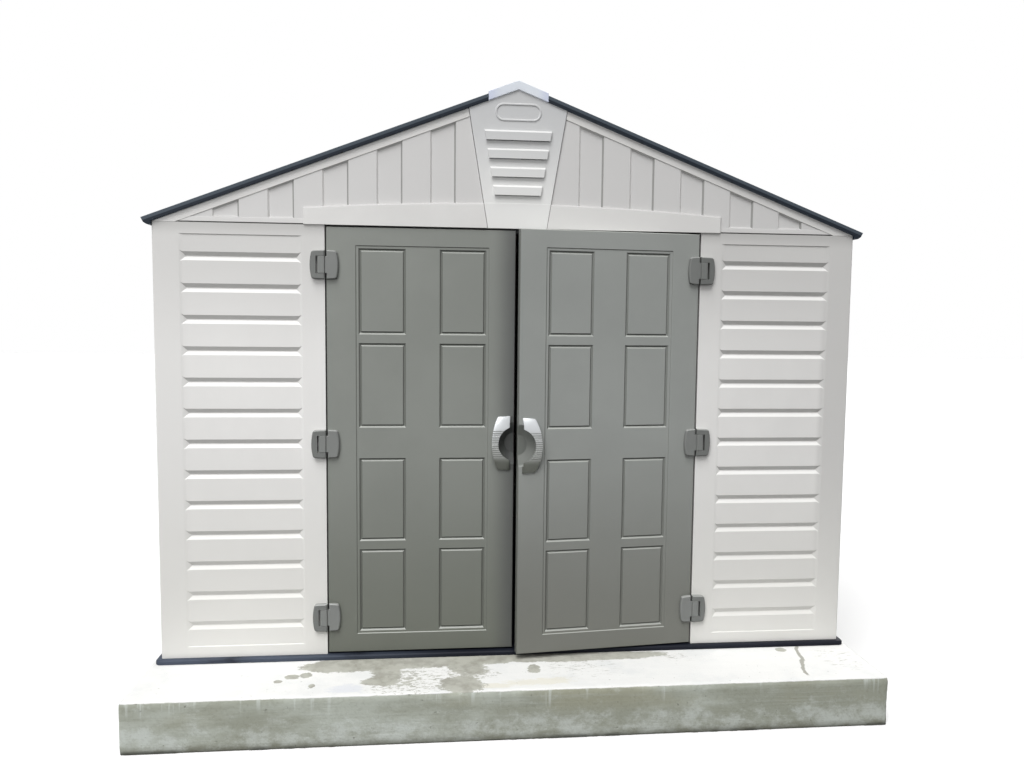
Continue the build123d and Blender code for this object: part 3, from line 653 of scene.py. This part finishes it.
# Painted shade darkens the front and back edges, and a painted highlight runs along their upper lip.
on_edge = ramp(roof_tree, math(roof_tree, "ABSOLUTE", facing(roof_tree)[1]), 0.5, 0.8)
raised = math(roof_tree, "ADD", roof_z, math(roof_tree, "MULTIPLY", from_ridge, roof_slope))
lip_foot = roof_high.z + ridge_half * roof_slope - roof_lip
laid_over(roof_tree, roof_shader, math(roof_tree, "MULTIPLY", on_edge, 0.9), roof_edge_shade_colour)
on_lip = math(roof_tree, "MULTIPLY", on_edge, ramp(roof_tree, raised, lip_foot - lip_blur, lip_foot + lip_blur))
laid_over(roof_tree, roof_shader, math(roof_tree, "MULTIPLY", on_lip, 0.8), roof_lip_highlight_colour)
for side in ("left", "right"):
    for place in ("front", "middle", "back"):
        softened(f"roof_{side}_{place}", roof_edge, "shed", roof_resin)

# Ridge pieces: milky resin that lets daylight into the shed, saddled over the two slopes.
# The ends look bluer where the dark roof panels lie behind them.
ridge_colour = (243, 249, 255)
ridge_mottle = (224, 230, 242)
ridge_end_colour = (216, 223, 246)
ridge_end_from = 0.55
ridge_material, ridge_tree, ridge_shader = resin("ridge_resin", ridge_colour, ridge_mottle, 0.32, specular=0.5)
towards_end = ramp(ridge_tree, math(ridge_tree, "ABSOLUTE", position(ridge_tree)[0]),
                   ridge_half * ridge_end_from, ridge_half)
laid_over(ridge_tree, ridge_shader, math(ridge_tree, "MULTIPLY", towards_end, 0.8), ridge_end_colour)
ridge_shader.inputs["Transmission Weight"].default_value = 0.06
for place in ("front", "middle", "back"):
    softened(f"ridge_skylight_{place}", roof_edge, "shed", ridge_material)

# Steel inside: tube trusses under the roof joints, and a channel folded from sheet over the doors.
# All of it is powder coated dark grey, so it is finished like a resin with a closer sheen.
steel_colour = (84, 86, 88)
steel_mottle = (74, 76, 78)
steel_edge = 0.0008
coated_steel, _, _ = resin("coated_steel", steel_colour, steel_mottle, 0.4)
for node in ("roof_truss_front", "roof_truss_back", "door_header"):
    softened(node, steel_edge, "shed", coated_steel)

# Door leaves: blow-moulded resin with eight raised panels in a sunk field, and half a bowl behind each pull.
# Olive grey, darkened towards the ground by dirt and painted shade, with painted shade beside the gap on the left
# leaf.
# The right leaf's colours are lighter than the left's as painted light, since it stands ajar and catches more light.
leaf_lit_and_shaded_colours = {"left": ((138, 141, 136), (106, 109, 101)), "right": ((154, 157, 154), (112, 113, 107))}
bowl_shade_colours = {"left": (75, 78, 75), "right": (93, 96, 91)}
seam_shade_colour = (74, 76, 75)
leaf_up_face_highlight = (176, 179, 173)
leaf_down_face_shade = (58, 60, 56)
leaf_dirt = (92, 90, 80)
gap_shade_colour = (72, 73, 74)
groove_shade_colour = (92, 94, 89)
dirt_and_shade_below_z = 1.30
gap_shade_from_x, gap_shade_to_x = -0.115, -0.005
bowl_half = 0.092
bowl_rim_out, bowl_rim_in = 0.002, 0.012
hood_shade_from, hood_shade_to = -0.042, -0.036
hood_end_out, hood_end_in = 0.001, 0.003
leaf_edge = 0.0012
leaf_low, leaf_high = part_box("left_door_leaf")


def leaf_resin(side):
    fresh, low_dirt_and_shade = leaf_lit_and_shaded_colours[side]
    softer = tuple(channel - 5 for channel in fresh)
    material, tree, shader = resin(f"{side}_leaf_resin", fresh, softer, 0.45, dirt=leaf_dirt, dirt_top=0.25)
    place = position(tree)
    # Dirt and painted shade darken each leaf towards the ground.
    laid_over(tree, shader, ramp(tree, place[2], dirt_and_shade_below_z, leaf_low.z), low_dirt_and_shade)
    # Painted highlight on faces that look up, and painted shade on faces that look down.
    painted_light_by_facing(tree, shader, leaf_up_face_highlight, leaf_down_face_shade, dust_and_up_light=0.7, down_face_share=0.9)
    sideways = ramp(tree, math(tree, "ABSOLUTE", facing(tree)[0]), 0.25, 0.55)
    laid_over(tree, shader, math(tree, "MULTIPLY", sideways, 0.6), groove_shade_colour)
    if side == "left":
        beside_gap = ramp(tree, place[0], gap_shade_from_x, gap_shade_to_x)
        laid_over(tree, shader, math(tree, "MULTIPLY", beside_gap, 0.7), gap_shade_colour)
    pull_low, pull_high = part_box(f"{side}_door_pull")
    seam = leaf_high.x if side == "left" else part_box("right_door_leaf")[0].x
    up = math(tree, "SUBTRACT", place[2], (pull_low.z + pull_high.z) / 2)
    across = math(tree, "SUBTRACT", place[0], seam)
    outwards = math(tree, "SQRT", math(tree, "ADD", math(tree, "MULTIPLY", up, up),
                                       math(tree, "MULTIPLY", across, across)))
    # Painted shade in each bowl, deepest on the left leaf, which lies in the shadow of the right one.
    in_bowl = ramp(tree, outwards, bowl_half + bowl_rim_out, bowl_half - bowl_rim_in)
    laid_over(tree, shader, math(tree, "MULTIPLY", in_bowl, 0.85), bowl_shade_colours[side])
    if side == "left":
        half_pull = (pull_high.z - pull_low.z) / 2
        beside_pull = ramp(tree, math(tree, "ABSOLUTE", up), half_pull + hood_end_out, half_pull - hood_end_in)
        past_bowl = math(tree, "MULTIPLY", beside_pull, ramp(tree, across, hood_shade_from, hood_shade_to))
        laid_over(tree, shader, math(tree, "MULTIPLY", past_bowl, 0.75), seam_shade_colour)
    return material


for side in ("left", "right"):
    softened(f"{side}_door_leaf", leaf_edge, f"{side}_door", leaf_resin(side))

# Hinges: surface hinges of grey resin, three to a leaf, each with one half on the wall and one on the door.
# The door half's knuckle sits in the open side of the wall half, and turns on the pin that is moulded there.
hinge_colours = {"wall": ((112, 114, 112), (104, 106, 104)), "door": ((126, 128, 126), (117, 119, 117))}
hinge_edge = 0.0012
hinge_up_face_highlight = (160, 162, 159)
hinge_down_face_shade = (56, 57, 55)
hinge_resins = {}
# Each half gets a painted highlight on faces that look up and painted shade on faces that look down.
for half, (hinge_colour, hinge_mottle) in hinge_colours.items():
    hinge_resins[half], tree, shader = resin(f"{half}_hinge_resin", hinge_colour, hinge_mottle, 0.42)
    painted_light_by_facing(tree, shader, hinge_up_face_highlight, hinge_down_face_shade, dust_and_up_light=0.7, down_face_share=0.8)
for side in ("left", "right"):
    softened(f"wall_hinges_{side}", hinge_edge, "shed", hinge_resins["wall"])
    softened(f"{side}_door_hinges", hinge_edge, f"{side}_door", hinge_resins["door"])

# Pulls: crescents of metal-look resin that arch over the bowls, ribbed across the grip.
# Painted reflection brightens the tops, and painted shade darkens the grip and, most of all, the lower ends.
pull_colour = (186, 189, 190)
pull_mottle = (184, 186, 186)
pull_reflection_colour = (202, 205, 208)
pull_grip_shade_colour = (160, 162, 158)
pull_foot_shade_colour = (86, 89, 80)
pull_edge = 0.0015
reflection_from_top, reflection_to_top = 0.08, 0.04
grip_shade_from_top, grip_shade_to_foot = 0.07, 0.080
foot_shade_from, foot_shade_to = 0.080, 0.036
rib_pitch = 0.009
rib_slices = 8
ribbed_half = 0.060
rib_depth = 0.0024
rib_shade_colour = (104, 106, 102)


def ribbed(piece):
    """Slices the grip across, and presses a groove between each two ribs."""
    low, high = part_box(piece.name.replace("_moulding", ""))
    middle = (low.z + high.z) / 2
    levels = int(ribbed_half / rib_pitch * rib_slices)
    deselect_all()
    piece.select_set(True)
    bpy.context.view_layer.objects.active = piece
    bpy.ops.object.mode_set(mode="EDIT")
    for level in range(-levels, levels + 1):
        bpy.ops.mesh.select_all(action="SELECT")
        bpy.ops.mesh.bisect(plane_co=(0, 0, middle + level * rib_pitch / rib_slices), plane_no=(0, 0, 1))
    bpy.ops.object.mode_set(mode="OBJECT")
    for vertex in piece.data.vertices:
        up = vertex.co.z - middle
        if abs(up) < ribbed_half and vertex.normal.y < -0.3:
            groove = max(0, cos(2 * pi * up / rib_pitch)) * min(1, (ribbed_half - abs(up)) / rib_pitch * 2)
            vertex.co -= vertex.normal * rib_depth * groove * min(1, -vertex.normal.y)
    bpy.ops.mesh.customdata_custom_splitnormals_clear()
    bpy.ops.object.shade_smooth_by_angle(angle=radians(32))


pull_resin, pull_tree, pull_shader = resin("pull_resin", pull_colour, pull_mottle, 0.3, specular=0.6)
pull_shader.inputs["Metallic"].default_value = 0.25
pull_height = position(pull_tree)[2]
pull_low, pull_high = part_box("left_door_pull")
# Painted reflection on the tops, painted shade on the grip and on the lower ends.
upper = ramp(pull_tree, pull_height, pull_high.z - reflection_from_top, pull_high.z - reflection_to_top)
lower = ramp(pull_tree, pull_height, pull_low.z + foot_shade_from, pull_low.z + foot_shade_to)
grip_shade = ramp(pull_tree, pull_height, pull_high.z - grip_shade_from_top, pull_low.z + grip_shade_to_foot)
laid_over(pull_tree, pull_shader, math(pull_tree, "MULTIPLY", upper, 0.8), pull_reflection_colour)
laid_over(pull_tree, pull_shader, math(pull_tree, "MULTIPLY", grip_shade, 0.8), pull_grip_shade_colour)
laid_over(pull_tree, pull_shader, math(pull_tree, "MULTIPLY", lower, 0.95), pull_foot_shade_colour)
up_pull = math(pull_tree, "SUBTRACT", pull_height, (pull_low.z + pull_high.z) / 2)
rib_phase = math(pull_tree, "MULTIPLY", up_pull, 2 * pi / rib_pitch)
between_ribs = ramp(pull_tree, math(pull_tree, "COSINE", rib_phase), 0.0, 0.9)
on_grip = ramp(pull_tree, math(pull_tree, "ABSOLUTE", up_pull), ribbed_half, ribbed_half - rib_pitch / 2)
in_groove = math(pull_tree, "MULTIPLY", between_ribs, on_grip)
laid_over(pull_tree, pull_shader, math(pull_tree, "MULTIPLY", in_groove, 0.75), rib_shade_colour)
for side in ("left", "right"):
    ribbed(softened(f"{side}_door_pull", pull_edge, f"{side}_door", pull_resin))

# Studio: a plain pale floor, a wide soft lamp high in front on the left, a low and wider one behind on the
# right, a square one up on the camera's left whose light fades to the right, and an even white surround.
floor_half = 40
floor_drop = 0.001
# Each wide lamp: how it is turned, how wide it spreads and how strong it is
wide_lamps = {"key_lamp": ((30, 0, -20), 40, 2.8), "back_lamp": ((-78, 0, -25), 70, 1.5)}
front_lamp_place = Vector((-2.6, -4.7, 2.6))
front_lamp_target = Vector((-0.6, -1.0, 1.1))
front_lamp_size = 2.2
front_lamp_power = 48
fill_strength = 0.25
floor_lit = 0.12
floor_seen = 0.97


def seen_directly(tree):
    """1 for the camera and for what glossy and clear surfaces show, 0 for light."""
    rays = tree.nodes.new("ShaderNodeLightPath")
    glossy = math(tree, "MAXIMUM", rays.outputs["Is Glossy Ray"], rays.outputs["Is Transmission Ray"])
    return math(tree, "MAXIMUM", rays.outputs["Is Camera Ray"], glossy)


deselect_all()
bpy.ops.mesh.primitive_plane_add(size=2 * floor_half, location=(0, 0, -floor_drop))
studio_floor = bpy.context.object
studio_floor.name = "studio_floor"
floor_material, tree, shader = new_material("studio_floor", 0.9, 0.1)
floor_shades = [(shade, shade, shade, 1) for shade in (floor_lit, floor_seen)]
fill(tree, shader.inputs["Base Color"], blend(tree, seen_directly(tree), *floor_shades))
studio_floor.data.materials.append(floor_material)

for name, (angles, spread, power) in wide_lamps.items():
    sun = bpy.data.lights.new(name, "SUN")
    sun.energy = power
    sun.angle = radians(spread)
    sun_object = bpy.data.objects.new(name, sun)
    bpy.context.scene.collection.objects.link(sun_object)
    sun_object.rotation_euler = [radians(angle) for angle in angles]

front_lamp = bpy.data.lights.new("front_lamp", "AREA")
front_lamp.shape = "SQUARE"
front_lamp.size = front_lamp_size
front_lamp.energy = front_lamp_power
front_object = bpy.data.objects.new("front_lamp", front_lamp)
bpy.context.scene.collection.objects.link(front_object)
front_object.location = front_lamp_place
front_object.rotation_euler = (front_lamp_target - front_lamp_place).to_track_quat("-Z", "Y").to_euler()

world = bpy.data.worlds.new("white_surround")
world.use_nodes = True
bpy.context.scene.world = world
surround = world.node_tree.nodes["Background"]
surround.inputs["Color"].default_value = (1, 1, 1, 1)
brightness = {"Value": seen_directly(world.node_tree), "To Min": fill_strength, "To Max": 1.0}
fill(world.node_tree, surround.inputs["Strength"], wire(world.node_tree, "MapRange", brightness))

# Camera: where the photograph was taken, a little left of the middle and turned slightly to the right.
# Its place and turn were solved from the straight edges of the shed's front.
camera_aside = -0.325
camera_before_wall = 3.2961
camera_above_floor = 1.4174
camera_yaw = 0.0935
camera_pitch = -0.0731
camera_roll = 0.0098
focal_pixels = 769
image_width = 1024
sensor_width = 36

front_wall_low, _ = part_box("front_wall_left")
camera_place = Vector((camera_aside, front_wall_low.y - camera_before_wall, front_wall_low.z + camera_above_floor))
ahead = Vector((sin(camera_yaw) * cos(camera_pitch), cos(camera_yaw) * cos(camera_pitch), sin(camera_pitch)))
level_right = Vector((cos(camera_yaw), -sin(camera_yaw), 0))
level_up = level_right.cross(ahead)
right = level_right * cos(camera_roll) + level_up * sin(camera_roll)
up = level_up * cos(camera_roll) - level_right * sin(camera_roll)
camera_data = bpy.data.cameras.new("camera")
camera_data.sensor_width = sensor_width
camera_data.lens = focal_pixels * sensor_width / image_width
camera = bpy.data.objects.new("camera", camera_data)
bpy.context.scene.collection.objects.link(camera)
turn = Matrix((right, up, -ahead)).transposed()
camera.matrix_world = Matrix.Translation(camera_place) @ turn.to_4x4()
bpy.context.scene.camera = camera
bpy.context.scene.view_settings.view_transform = "Standard"
